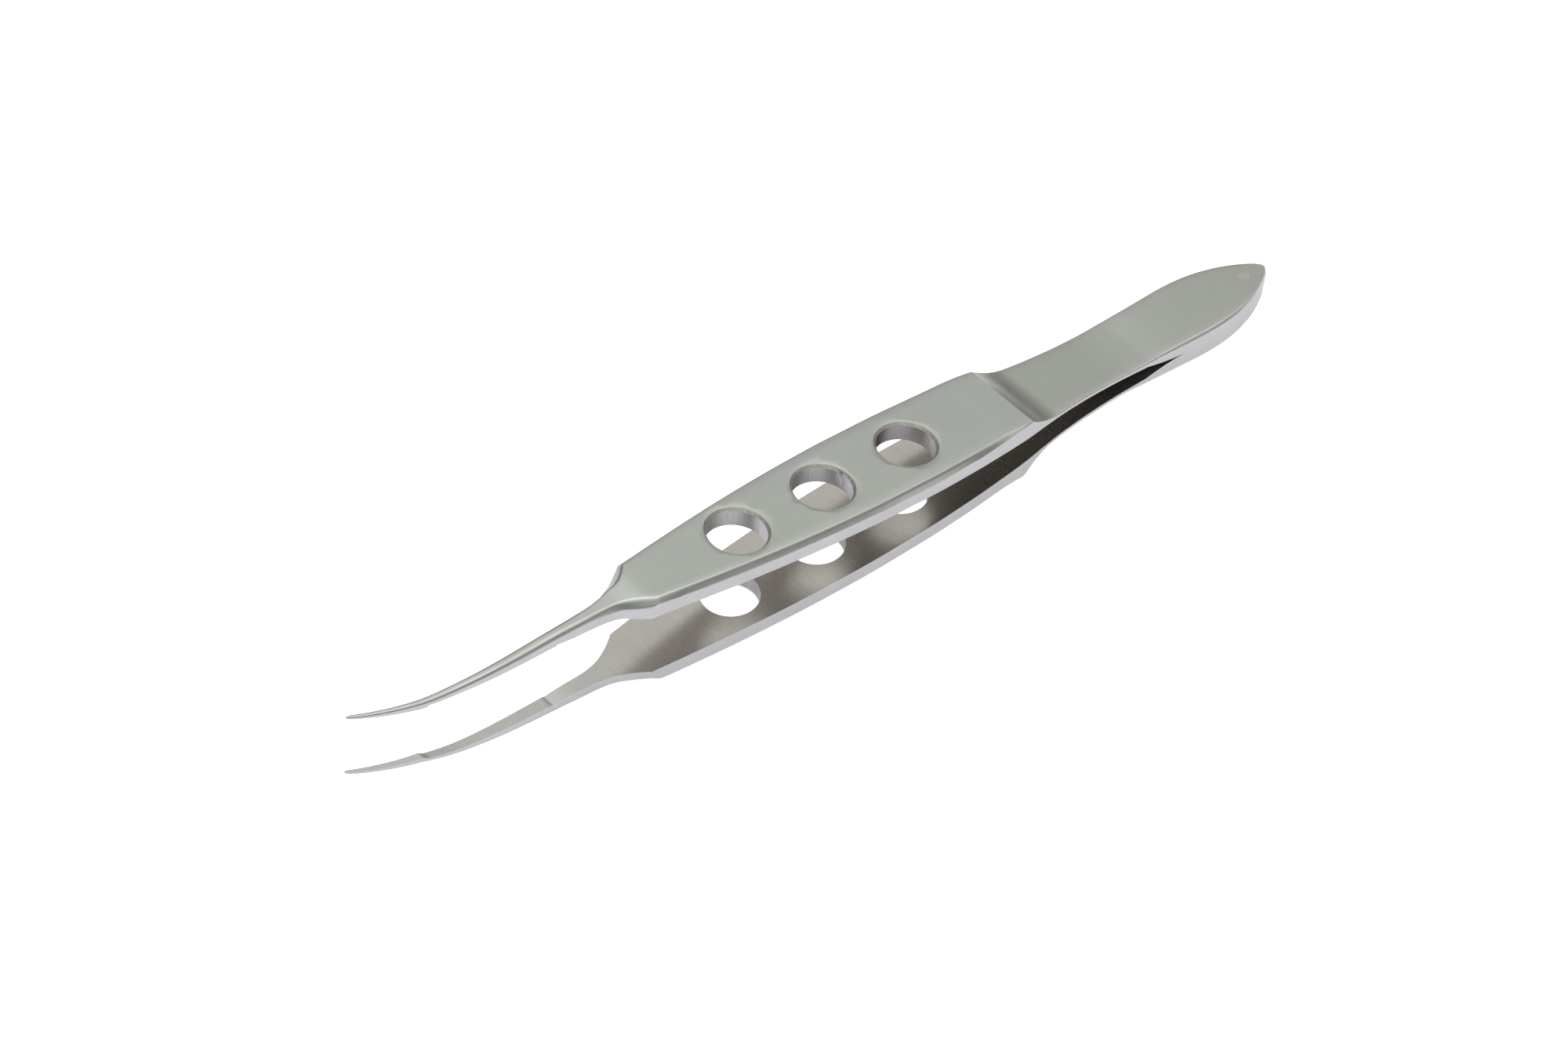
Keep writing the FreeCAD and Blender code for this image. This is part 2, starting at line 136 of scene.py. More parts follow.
WALL_END = [(46.0, 0.31), (50.0, 0.18), (53.2, 0.09), (53.55, 0.05)]
FLAT_END = [(32.0, 0.20), (34.0, 0.14), (42.0, 0.09), (50.0, 0.05), (53.55, 0.03)]

# bevels and necks are ground by hand, so each arm has its own: side 1 is the upper arm and -1 the lower;
# far_reach widens the far side, and corner_lean moves the front corner along x at the inner and outer face
ARMS = {
    1: {
        "bevel_w": [
            (SHOULDER_X, BEVEL_AT_SHOULDER), (BEVEL_RUN_IN_END, BEVEL_W), (FRONT_CORNER_X, BEVEL_W)
        ],
        "bevel_h": shifted([
            (-17.65, 0.07), (-15.0, 0.26), (-12.0, 0.48), (-8.0, 0.70), (-3.0, 0.78), (5.0, 0.68),
            (20.0, 0.68), (25.4, 0.48)
        ]),
        "wall": shifted([
            (25.4, 1.44), (26.3, 1.22), (27.5, 1.02), (29.0, 0.94), (30.0, 0.88), (34.0, 0.66),
            (38.0, 0.55), (42.0, 0.43)
        ] + WALL_END),
        "thick": shifted([
            (25.4, 1.92), (26.0, 1.915), (26.8, 1.85), (27.6, 1.74), (28.6, 1.61), (30.0, 1.47),
            (34.0, 1.26), (38.0, 1.09), (42.0, 0.89)
        ] + THICK_END),
        "flat": shifted([
            (25.4, 2.28), (26.0, 1.76), (26.6, 1.28), (27.2, 0.96), (27.8, 0.79), (28.5, 0.63),
            (29.3, 0.49), (30.2, 0.34)
        ] + FLAT_END),
        "centre_y": shifted([
            (25.4, 0.0), (25.9, 0.22), (26.5, 0.26), (27.2, 0.18), (28.2, 0.05)
        ] + SHANK_CURVE),
        "far_reach": shifted([(25.4, 0.0), (25.9, 0.20), (26.5, 0.24), (27.4, 0.12), (28.6, 0.0)]),
        "corner_lean": (0.38, -0.42),
    },
    -1: {
        "bevel_w": [
            (SHOULDER_X, BEVEL_AT_SHOULDER), (BEVEL_RUN_IN_END, BEVEL_W),
            (LOWER_CORNER_START, BEVEL_W), (FRONT_CORNER_X, 1.40)
        ],
        "bevel_h": [
            (SHOULDER_X, BEVEL_AT_SHOULDER), (BEVEL_RUN_IN_END, 0.48), (LOWER_CORNER_START, 0.48),
            (FRONT_CORNER_X, 0.97)
        ],
        "wall": shifted([
            (25.4, 0.95), (26.7, 0.93), (28.4, 0.82), (30.2, 0.80), (34.0, 0.74), (38.0, 0.63),
            (42.0, 0.46)
        ] + WALL_END),
        "thick": shifted([
            (25.4, 1.92), (26.0, 1.88), (26.7, 1.75), (28.4, 1.52), (30.2, 1.41), (34.0, 1.32),
            (38.0, 1.16), (42.0, 0.93)
        ] + THICK_END),
        "flat": shifted([
            (25.4, 1.42), (26.0, 1.05), (26.6, 0.75), (27.2, 0.55), (27.8, 0.42), (28.5, 0.33),
            (29.3, 0.28), (30.2, 0.25)
        ] + FLAT_END),
        "centre_y": shifted([(25.4, 0.0)] + SHANK_CURVE),
        "far_reach": [(FRONT_CORNER_X, 0.0)],
        "corner_lean": (0.0, -0.45),
    },
}
TAIL_OUTER_Z = {
    1: shifted([(-52.35, 1.21), (-46.0, 1.34), (-42.0, 1.37), (-37.0, 1.36), (-33.66, 1.29)]),
    -1: shifted([
        (-52.35, 1.45), (-48.5, 1.70), (-45.5, 1.77), (-42.0, 1.79), (-38.5, 1.72), (-36.0, 1.60),
        (-33.66, 1.44)
    ]),
}
LEAF_THICKS = [(-31.6, 0.45), (-28.6, 0.42), (-25.6, 0.42), (COVE_START_X, LEAF_THICK)]
SHANK_INNER_Z = [
    (FRONT_CORNER_X, inner_plane_z(FRONT_CORNER_X)), (27.4, 3.52), (29.4, 3.54), (31.4, 3.54),
    (RELIEF_X, 3.54), (37.4, 3.49), (40.4, 3.44), (43.4, 3.38),
    (PLATFORM_X, platform_z(PLATFORM_X) + PLATFORM_RAISE - RELIEF_DEPTH)
]

# the front corner's lean fades out over this run along x on both sides
CORNER_LEAN_RUN = 3.0

# the shank's inner face dips before the relief, and short ramps rise to the relief and to the platform
RELIEF_RUN_OUT = 2.5
RELIEF_DIP = 0.19
RELIEF_RAMP = 0.25
PLATFORM_RAMP = 0.45

# the far side of each shoulder keeps a full bevel right up to its corner
FAR_BEVEL_W = 0.50
FAR_BEVEL_H = 0.42
FAR_BEVEL_RUN = 1.2

# share of a full round between side wall and outer face: 0 is a flat bevel with a soft top edge
ROUND_SHARE = [(SHOULDER_X, 0.0), (27.9, 0.06), (29.4, 0.4), (31.4, 0.85), (TIP_END_X, 1.0)]
BEVEL_CORNER = 0.28
BEVEL_FLAT_SHARE = 0.6
BEVEL_TURN = 0.4

# the shading breaks at edges sharper than this
CRISP_ANGLE = math.radians(32)


def along(stations, x):
    """Value at x on a smooth curve through (x, value) stations."""
    if x <= stations[0][0]:
        return stations[0][1]
    if x >= stations[-1][0]:
        return stations[-1][1]
    i = 0
    while stations[i + 1][0] < x:
        i += 1

    def rise(k):
        return (stations[k + 1][1] - stations[k][1]) / (stations[k + 1][0] - stations[k][0])

    def slope_at(k):
        if k == 0 or k == len(stations) - 1:
            return rise(i)
        left, right = rise(k - 1), rise(k)
        if left * right <= 0.0:
            return 0.0
        return 2.0 * left * right / (left + right)

    x0, v0 = stations[i]
    x1, v1 = stations[i + 1]
    h = x1 - x0
    t = (x - x0) / h
    return (v0 * (1 + 2 * t) * (1 - t) ** 2 + slope_at(i) * h * t * (1 - t) ** 2
            + v1 * t * t * (3 - 2 * t) + slope_at(i + 1) * h * t * t * (t - 1))


def cove_thick(x):
    """Thickness in the cove: along a circle up to its steepest tilt, then straight up to the shoulder."""
    back = SHOULDER_X - x
    climb = PLATE_THICK - LEAF_THICK
    round_climb = COVE_RADIUS * (1.0 - math.cos(COVE_TILT))
    straight_run = (climb - round_climb) / math.tan(COVE_TILT)
    if back < straight_run:
        return PLATE_THICK - back * math.tan(COVE_TILT)
    dx = straight_run + COVE_RADIUS * math.sin(COVE_TILT) - back
    if dx < 0.0:
        return LEAF_THICK
    return LEAF_THICK + COVE_RADIUS - math.sqrt(COVE_RADIUS ** 2 - dx ** 2)


def relief_depth(x):
    """How far the shank's inner face lies back from its line before the platform."""
    if x <= RELIEF_X:
        run_out = max(0.0, 1.0 - (RELIEF_X - x) / RELIEF_RUN_OUT)
        return RELIEF_DIP * run_out ** 2
    up_ramp = min(1.0, (x - RELIEF_X) / RELIEF_RAMP)
    to_platform = max(0.0, 1.0 - (PLATFORM_X - x) / PLATFORM_RAMP)
    return RELIEF_DIP + (RELIEF_DEPTH - RELIEF_DIP) * up_ramp - PLATFORM_RAISE * to_platform


def section_at(x, side):
    """One cross-section: centre y, half-width, inner z, wall height, thickness, half of the flat top."""
    arm = ARMS[side]
    if x <= KINK_X:
        w = along(HALF_WIDTH, x)
        inner = 0.0
        if x > SLIT_END_X:
            inner = inner_plane_z(KINK_X) * ((x - SLIT_END_X) / (KINK_X - SLIT_END_X)) ** SLIT_TAPER
        thick = along(TAIL_OUTER_Z[side], x) - inner
        edge = min(TAIL_EDGE, TAIL_EDGE_SHARE * w)
        if x > TAIL_EDGE_FADE_X:
            edge += (LEAF_EDGE - TAIL_EDGE) * (x - TAIL_EDGE_FADE_X) / (KINK_X - TAIL_EDGE_FADE_X)
        return 0.0, w, inner, thick - edge, thick, w - edge
    if x <= SHOULDER_X:
        w = along(HALF_WIDTH, x)
        at_kink = (KINK_X, TAIL_OUTER_Z[side][-1][1] - inner_plane_z(KINK_X))
        thick = max(along([at_kink] + LEAF_THICKS, x), cove_thick(x))
        edge = LEAF_EDGE
        if x > COVE_START_X:
            edge += (BEVEL_AT_SHOULDER - LEAF_EDGE) * (x - COVE_START_X) / (SHOULDER_X - COVE_START_X)
        return 0.0, w, inner_plane_z(x), thick - edge, thick, w - edge
    if x < FRONT_CORNER_X:
        w = along(HALF_WIDTH, x)
        wall = PLATE_THICK - along(arm["bevel_h"], x)
        return 0.0, w, inner_plane_z(x), wall, PLATE_THICK, w - along(arm["bevel_w"], x)
    inner = along(SHANK_INNER_Z, x)
    wall = along(arm["wall"], x)
    thick = along(arm["thick"], x)
    if x <= PLATFORM_X:
        depth = relief_depth(x)
        inner += depth
        wall -= depth
        thick -= depth
    if x > PLATFORM_X:
        reach = (TIP_END_X - x) / (TIP_END_X - PLATFORM_X)
        extra = (PLATFORM_RAISE - RELIEF_DEPTH) * reach
        inner = platform_z(x)
        wall += extra
        thick += extra
    return along(arm["centre_y"], x), along(SHANK_HALF_WIDTH, x), inner, wall, thick, along(arm["flat"], x)


def far_bevel_share(x):
    """How much of the full far bevel is added at x, near the shoulder's far corner."""
    if x > SHOULDER_X:
        return max(0.0, 1.0 - (x - SHOULDER_X) / BEVEL_RUN_IN)
    return max(0.0, 1.0 - (SHOULDER_X - x) / FAR_BEVEL_RUN)


INNER_POINTS = 10
WALL_POINTS = 4
ROUND_POINTS = 10
TOP_POINTS = 10


def shoulder(t, round_share):
    """Share of the way out and up at t, from the side wall (0) to the outer face (1)."""
    foot = Vector((1.0, 0.0))
    corner = Vector((BEVEL_CORNER, 1.0))
    top = Vector((0.0, 1.0))
    edge = foot.lerp(corner, BEVEL_FLAT_SHARE)
    if t < BEVEL_TURN:
        bevel = foot.lerp(edge, t / BEVEL_TURN)
    else:
        u = (t - BEVEL_TURN) / (1.0 - BEVEL_TURN)
        bevel = edge.lerp(corner, u).lerp(corner.lerp(top, u), u)
    angle = 0.5 * math.pi * t
    full = Vector((math.cos(angle), math.sin(angle)))
    return bevel.lerp(full, round_share)


def ring_at(x, side):
    """Points round the arm at x, from the near inner corner across the inner face and over the top."""
    y, w, inner, wall, thick, flat = section_at(x, side)
    z_wall = inner + wall
    z_top = inner + thick
    far = far_bevel_share(x)
    far_w = w + along(ARMS[side]["far_reach"], x)
    far_wall = wall - max(0.0, FAR_BEVEL_H - (thick - wall)) * far
    far_flat = flat - max(0.0, FAR_BEVEL_W - (w - flat)) * far
    z_far = inner + far_wall
    round_share = along(ROUND_SHARE, x)
    points = []
    for i in range(INNER_POINTS):
        points.append((y + w - (w + far_w) * i / INNER_POINTS, inner))
    for i in range(WALL_POINTS):
        points.append((y - far_w, inner + far_wall * i / WALL_POINTS))
    for i in range(ROUND_POINTS):
        out, up = shoulder(i / ROUND_POINTS, round_share)
        points.append((y - far_flat - (far_w - far_flat) * out, z_far + (z_top - z_far) * up))
    for i in range(TOP_POINTS):
        points.append((y - far_flat + (far_flat + flat) * i / TOP_POINTS, z_top))
    for i in range(ROUND_POINTS):
        out, up = shoulder(1.0 - i / ROUND_POINTS, round_share)
        points.append((y + flat + (w - flat) * out, z_wall + (z_top - z_wall) * up))
    for i in range(WALL_POINTS):
        points.append((y + w, z_wall - wall * i / WALL_POINTS))
    near_corner = max(0.0, 1.0 - abs(x - FRONT_CORNER_X) / CORNER_LEAN_RUN)
    at_inner, at_outer = ARMS[side]["corner_lean"]
    ring = []
    for py, pz in points:
        lean = (at_inner + (at_outer - at_inner) * (pz - inner) / thick) * near_corner
        ring.append(Vector((x + lean, py, pz + lean * SLOPE)) * MM)
    return ring


def spread(start, end, step):
    """Even places from start up to end, without end itself."""
    count = max(1, round((end - start) / step))
    return [start + (end - start) * i / count for i in range(count)]


def arm_stations():
    """Places of the rings along x, closest together where the form turns."""
    xs = [TAIL_END_X, TAIL_END_X + 0.05, TAIL_END_X + 0.12]
    xs += spread(TAIL_END_X + 0.2, TAIL_END_X + 2.4, 0.15)
    xs += spread(TAIL_END_X + 2.4, SLIT_END_X, 0.4)
    xs += spread(SLIT_END_X, KINK_X, 0.4)
    xs += spread(KINK_X, COVE_START_X - 1.2, 0.4)
    xs += spread(COVE_START_X - 1.2, SHOULDER_X, 0.15)
    xs += [SHOULDER_X]
    xs += spread(SHOULDER_X + STEP, BEVEL_RUN_IN_END, 0.3)
    xs += spread(BEVEL_RUN_IN_END, FRONT_CORNER_X - 2.4, 0.8)
    xs += spread(FRONT_CORNER_X - 2.4, FRONT_CORNER_X, 0.2)
    xs += spread(FRONT_CORNER_X, NECK_END_X, 0.12)
    xs += spread(NECK_END_X, RELIEF_X - STEP, 0.3)
    xs += [RELIEF_X - STEP, RELIEF_X]
    xs += spread(RELIEF_X + RELIEF_RAMP, PLATFORM_X - PLATFORM_RAMP, 0.3)
    xs += [PLATFORM_X - PLATFORM_RAMP, PLATFORM_X]
    xs += spread(PLATFORM_X + STEP, TIP_END_X - 0.5, 0.25)
    xs += spread(TIP_END_X - 0.5, TIP_END_X, 0.07)
    xs += [TIP_END_X]
    return xs


def arm_mesh(name, side):
    """One whole arm as a mesh of rings, closed at both ends."""
    bm = bmesh.new()
    rings = []
    for x in arm_stations():
        rings.append([bm.verts.new((p.x, p.y, p.z * side)) for p in ring_at(x, side)])
    for a, b in zip(rings[:-1], rings[1:]):
        count = len(a)
        for i in range(count):
            j = (i + 1) % count
            bm.faces.new((a[i], a[j], b[j], b[i]))
    bm.faces.new(rings[0])
    bm.faces.new(list(reversed(rings[-1])))
    bmesh.ops.recalc_face_normals(bm, faces=bm.faces)
    mesh = bpy.data.meshes.new(name)
    bm.to_mesh(mesh)
    bm.free()
    obj = bpy.data.objects.new(name, mesh)
    bpy.context.scene.collection.objects.link(obj)
    return obj


def baked(obj, modifiers):
    """Applies the modifiers that the callback adds, so that a plain mesh is left."""
    modifiers(obj)
    graph = bpy.context.evaluated_depsgraph_get()
    mesh = bpy.data.meshes.new_from_object(obj.evaluated_get(graph), depsgraph=graph)
    obj.modifiers.clear()
    obj.data = mesh


def cut_holes(obj, side):
    """Three holes square to the plate and the pin's bore in the tail."""
    first_x = PLATE_REF_X - HOLE_PITCH
    first_z = (inner_plane_z(first_x) + PLATE_THICK) * side
    flip = math.pi if side < 0 else 0.0
    values = {
        "First Hole": Vector((first_x, 0.0, first_z)) * MM,
        "Hole Offset": Vector((HOLE_PITCH, 0.0, HOLE_PITCH * SLOPE * side)) * MM,
        "Tilt": Vector((flip, -math.atan(SLOPE) * side, 0.0)),
        "Pin Place": Vector((PIN_X, 0.0, 0.0)) * MM,
        "Finish": OUTER,
    }

    def add(target):
        holes = target.modifiers.new("holes", "NODES")
        holes.node_group = HOLES
        for item in HOLES.interface.items_tree:
            if item.name in values and item.in_out == "INPUT":
                holes[item.identifier] = values[item.name]

    baked(obj, add)


def wire(tree, source, target):
    tree.links.new(source, target)


def group_input(tree, name, kind, default):
    socket = tree.interface.new_socket(name=name, in_out="INPUT", socket_type=kind)
    socket.default_value = default


def math_node(tree, operation, a, b, clamp=False):
    node = tree.nodes.new("ShaderNodeMath")
    node.operation = operation
    node.use_clamp = clamp
    for socket, value in zip(node.inputs, (a, b)):
        if isinstance(value, (int, float)):
            socket.default_value = value
        else:
            wire(tree, value, socket)
    return node.outputs[0]


def spread_out(tree, value, low, high):
    """Stretches a narrow band of a noise value to the range from 0 to 1."""
    node = tree.nodes.new("ShaderNodeMapRange")
    node.inputs["From Min"].default_value = low
    node.inputs["From Max"].default_value = high
    wire(tree, value, node.inputs["Value"])
    return node.outputs[0]


def noise(tree, vector, per_mm, detail, roughness):
    node = tree.nodes.new("ShaderNodeTexNoise")
    node.inputs["Scale"].default_value = per_mm / MM
    node.inputs["Detail"].default_value = detail
    node.inputs["Roughness"].default_value = roughness
    wire(tree, vector, node.inputs["Vector"])
    return node.outputs["Fac"]


# bands of noise that are stretched to the full range; the pits' band runs backwards, so low noise is a pit
NOISE_BAND = (0.3, 0.7)
PIT_BAND = (0.36, 0.28)


def ground_steel_group():
    """Ground and glass-beaded steel: clouding, fine grinding lines along one way, small dark pits."""
    tree = bpy.data.node_groups.new("ground_steel", "ShaderNodeTree")
    face = tree.interface
    face.new_socket(name="Place", in_out="INPUT", socket_type="NodeSocketVector")
    group_input(tree, "Line Stretch", "NodeSocketVector", (1.0, 1.0, 1.0))
    group_input(tree, "Tone", "NodeSocketColor", (0.6, 0.6, 0.6, 1.0))
    group_input(tree, "Tip Tone", "NodeSocketColor", (0.6, 0.6, 0.6, 1.0))
    group_input(tree, "Tip Tone From", "NodeSocketFloat", 0.0)
    group_input(tree, "Tip Tone Full", "NodeSocketFloat", 1.0)
    group_input(tree, "Clouding", "NodeSocketFloat", 0.04)
    group_input(tree, "Line Contrast", "NodeSocketFloat", 0.06)
    group_input(tree, "Pits", "NodeSocketFloat", 0.0)
    group_input(tree, "Roughness", "NodeSocketFloat", 0.35)
    group_input(tree, "Roughness Spread", "NodeSocketFloat", 0.06)
    face.new_socket(name="Colour", in_out="OUTPUT", socket_type="NodeSocketColor")
    face.new_socket(name="Roughness", in_out="OUTPUT", socket_type="NodeSocketFloat")
    face.new_socket(name="Height", in_out="OUTPUT", socket_type="NodeSocketFloat")
    given = tree.nodes.new("NodeGroupInput")
    result = tree.nodes.new("NodeGroupOutput")
    stretch = tree.nodes.new("ShaderNodeVectorMath")
    stretch.operation = "MULTIPLY"
    wire(tree, given.outputs["Place"], stretch.inputs[0])
    wire(tree, given.outputs["Line Stretch"], stretch.inputs[1])
    lines = spread_out(tree, noise(tree, stretch.outputs[0], 1.0, 4.0, 0.7), *NOISE_BAND)
    cloud = spread_out(tree, noise(tree, given.outputs["Place"], 0.22, 2.0, 0.5), *NOISE_BAND)
    beads = spread_out(tree, noise(tree, given.outputs["Place"], 9.0, 2.0, 0.8), *NOISE_BAND)
    pit_mask = spread_out(tree, noise(tree, given.outputs["Place"], 2.4, 5.0, 0.75), *PIT_BAND)
    shade = math_node(tree, "MULTIPLY", given.outputs["Line Contrast"], lines)
    shade = math_node(tree, "SUBTRACT", 1.0, shade)
    clouding = math_node(tree, "MULTIPLY", given.outputs["Clouding"], cloud)
    shade = math_node(tree, "SUBTRACT", shade, clouding)
    pitted = math_node(tree, "MULTIPLY", given.outputs["Pits"], pit_mask)
    shade = math_node(tree, "SUBTRACT", shade, pitted, clamp=True)
    place = tree.nodes.new("ShaderNodeSeparateXYZ")
    wire(tree, given.outputs["Place"], place.inputs[0])
    # the tone changes along x towards the tip tone; on the inner faces this carries their painted shade
    towards_tip = tree.nodes.new("ShaderNodeMapRange")
    towards_tip.interpolation_type = "SMOOTHSTEP"
    wire(tree, place.outputs["X"], towards_tip.inputs["Value"])
    wire(tree, given.outputs["Tip Tone From"], towards_tip.inputs["From Min"])
    wire(tree, given.outputs["Tip Tone Full"], towards_tip.inputs["From Max"])
    tone = tree.nodes.new("ShaderNodeMixRGB")
    wire(tree, towards_tip.outputs[0], tone.inputs["Fac"])
    wire(tree, given.outputs["Tone"], tone.inputs["Color1"])
    wire(tree, given.outputs["Tip Tone"], tone.inputs["Color2"])
    colour = tree.nodes.new("ShaderNodeVectorMath")
    colour.operation = "SCALE"
    wire(tree, tone.outputs[0], colour.inputs[0])
    wire(tree, shade, colour.inputs["Scale"])
    wire(tree, colour.outputs[0], result.inputs["Colour"])
    swing = math_node(tree, "SUBTRACT", math_node(tree, "ADD", lines, cloud), 1.0)
    swing = math_node(tree, "MULTIPLY", given.outputs["Roughness Spread"], swing)
    wire(tree, math_node(tree, "ADD", given.outputs["Roughness"], swing), result.inputs["Roughness"])
    height = math_node(tree, "ADD", lines, math_node(tree, "MULTIPLY", beads, 0.6))
    wire(tree, math_node(tree, "SUBTRACT", height, pitted), result.inputs["Height"])
    return tree


GROUND_STEEL = ground_steel_group()
# over this run along x the tone turns to the tip tone; only the inner faces have one, where it lifts their
# painted shade
TIP_TONE_FROM = 23.0
TIP_TONE_FULL = 32.0
SHANK_FINISH_X = 27.6


def steel(name, tone, stretch, rough, lines=0.05, pits=0.0, relief=0.12, tip_tone=None,
          metallic=1.0, across=0.0):
    """One finish; stretch is how often the grinding lines change per millimetre along x, y and z."""
    mat = bpy.data.materials.new(name)
    mat.use_nodes = True
    tree = mat.node_tree
    tree.nodes.clear()
    out = tree.nodes.new("ShaderNodeOutputMaterial")
    shader = tree.nodes.new("ShaderNodeBsdfPrincipled")
    wire(tree, shader.outputs[0], out.inputs[0])
    coords = tree.nodes.new("ShaderNodeTexCoord")
    finish = tree.nodes.new("ShaderNodeGroup")
    finish.node_tree = GROUND_STEEL
    wire(tree, coords.outputs["Object"], finish.inputs["Place"])
    finish.inputs["Line Stretch"].default_value = stretch
    finish.inputs["Tone"].default_value = tone + (1.0,)
    finish.inputs["Tip Tone"].default_value = (tip_tone or tone) + (1.0,)
    finish.inputs["Tip Tone From"].default_value = TIP_TONE_FROM * MM
    finish.inputs["Tip Tone Full"].default_value = TIP_TONE_FULL * MM
    finish.inputs["Line Contrast"].default_value = lines
    finish.inputs["Pits"].default_value = pits
    finish.inputs["Roughness"].default_value = rough
    wire(tree, finish.outputs["Colour"], shader.inputs["Base Color"])
    wire(tree, finish.outputs["Roughness"], shader.inputs["Roughness"])
    shader.inputs["Metallic"].default_value = metallic
    if across:
        shader.inputs["Anisotropic"].default_value = across
        along_x = tree.nodes.new("ShaderNodeCombineXYZ")
        along_x.inputs["X"].default_value = 1.0
        wire(tree, along_x.outputs[0], shader.inputs["Tangent"])
    bump = tree.nodes.new("ShaderNodeBump")
    bump.inputs["Strength"].default_value = relief
    bump.inputs["Distance"].default_value = 0.02 * MM
    wire(tree, finish.outputs["Height"], bump.inputs["Height"])
    wire(tree, bump.outputs[0], shader.inputs["Normal"])
    return mat


# finishes of the steel, as linear colours, two of them with painted light: a painted highlight on the
# tail's edges and painted shade on the inner faces; lines run across the inner faces and along the plate
OUTER = steel("satin_outer_face", (0.520, 0.538, 0.512), (0.35, 6.0, 6.0), 0.33)
TAIL = steel("satin_tail_and_leaf", (0.472, 0.486, 0.456), (0.8, 3.0, 3.0), 0.36, lines=0.03)
# the tail's rounded side edges: a light tone that is a painted highlight
EDGE = steel("tail_edge_painted_highlight", (0.760, 0.760, 0.735), (0.8, 3.0, 3.0), 0.36, lines=0.03)
BEVEL = steel("ground_bevel", (0.560, 0.572, 0.548), (0.4, 5.0, 5.0), 0.32, lines=0.05, relief=0.05)
SHANK = steel("polished_shank", (0.505, 0.516, 0.490), (0.8, 3.0, 3.0), 0.36, lines=0.04, relief=0.04)
WALL = steel("milled_side_wall", (0.640, 0.638, 0.655), (2.0, 2.0, 5.0), 0.38, pits=0.15)
# the inner faces: grinding lines and pits, and a dark brownish tone that is painted shade between the arms,
# lighter towards the tip
INNER = steel("ground_inner_face_painted_shade", (0.490, 0.464, 0.432), (9.0, 0.5, 9.0), 0.26, lines=0.08,
              pits=0.35, relief=0.05, tip_tone=(0.512, 0.520, 0.492), metallic=0.95, across=0.85)
BORE = steel("milled_hole_wall", (0.680, 0.665, 0.695), (7.0, 7.0, 0.4), 0.34, lines=0.24, relief=0.35)
RIM = steel("rough_hole_rim", (0.520, 0.510, 0.460), (4.0, 4.0, 4.0), 0.45, lines=0.40,
            pits=0.4, relief=0.8, metallic=0.85)
PIN = steel("pin_end", (0.512, 0.512, 0.488), (5.0, 5.0, 5.0), 0.38)
BEAD = steel("joint_bead", (0.620, 0.612, 0.632), (2.0, 5.0, 5.0), 0.38, lines=0.07)
FINISHES = [OUTER, TAIL, EDGE, BEVEL, SHANK, WALL, INNER, BORE, RIM]


def flare(tree, narrow, wide, depth):
    """A cone: the narrow radius at the given depth, the wide one at the surface, and on above it."""
    cone = tree.nodes.new("GeometryNodeMeshCone")
    cone.inputs["Vertices"].default_value = HOLE_SIDES
    wire(tree, narrow, cone.inputs["Radius Bottom"])
    growth = math_node(tree, "MULTIPLY", math_node(tree, "SUBTRACT", wide, narrow), 2.0)
    wire(tree, math_node(tree, "ADD", growth, narrow), cone.inputs["Radius Top"])
    wire(tree, math_node(tree, "MULTIPLY", depth, 2.0), cone.inputs["Depth"])
    sink = tree.nodes.new("ShaderNodeCombineXYZ")
    wire(tree, math_node(tree, "MULTIPLY", depth, -1.0), sink.inputs["Z"])
    lowered = tree.nodes.new("GeometryNodeTransform")
    wire(tree, cone.outputs["Mesh"], lowered.inputs["Geometry"])
    wire(tree, sink.outputs[0], lowered.inputs["Translation"])
    return lowered.outputs["Geometry"]


